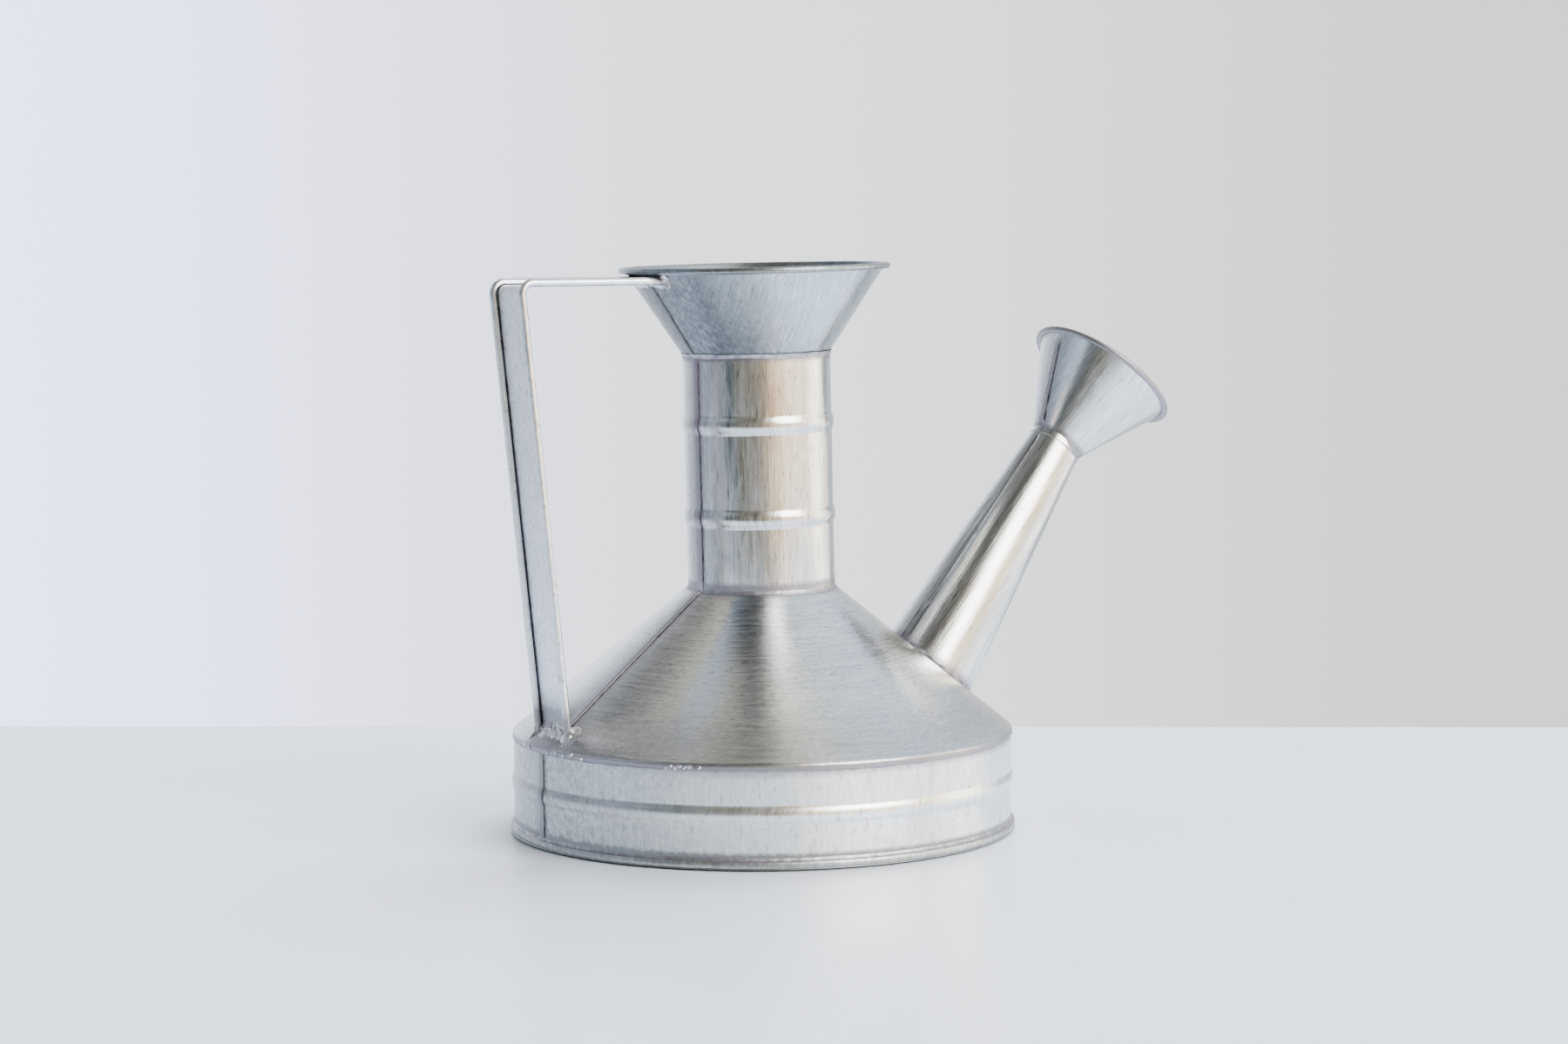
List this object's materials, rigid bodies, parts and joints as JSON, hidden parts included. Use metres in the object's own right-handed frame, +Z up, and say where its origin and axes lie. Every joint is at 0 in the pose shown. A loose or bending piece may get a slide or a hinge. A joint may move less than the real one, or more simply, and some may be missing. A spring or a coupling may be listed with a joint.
{
  "type": "watering can",
  "caption": "Galvanised sheet-metal watering can with a low round drum, sloping shoulder, tall beaded neck, funnel mouth, strap handle and a spout with a rose.",
  "frame": {"origin": "centre of the drum's foot, on the surface that the can stands on", "axes": "+Z up along the drum's axis, +X towards the spout and rose, -X towards the handle, Y across"},
  "size_m": [0.351, 0.2334, 0.261],
  "materials": {
    "galvanised": "zinc-coated sheet with fine brushed streaks and a soft shine",
    "solder": "dull grey-purple soft solder with flux stains"
  },
  "bodies": {
    "root": {"base_pan": "galvanised", "drum_wall": "galvanised", "shoulder": "galvanised", "neck_tube": "galvanised", "funnel": "galvanised", "handle_strap": "galvanised", "spout_tube": "galvanised", "rose_cone": "galvanised", "rose_face": "galvanised", "base_solder": "solder", "drum_side_solder": "solder", "shoulder_seam_solder": "solder", "shoulder_side_solder": "solder", "neck_foot_solder": "solder", "neck_side_solder": "solder", "funnel_foot_solder": "solder", "funnel_side_solder": "solder", "handle_top_solder": "solder", "handle_foot_solder": "solder", "spout_root_solder": "solder", "spout_side_solder": "solder", "rose_foot_solder": "solder", "rose_side_solder": "solder"}
  },
  "joints": []
}
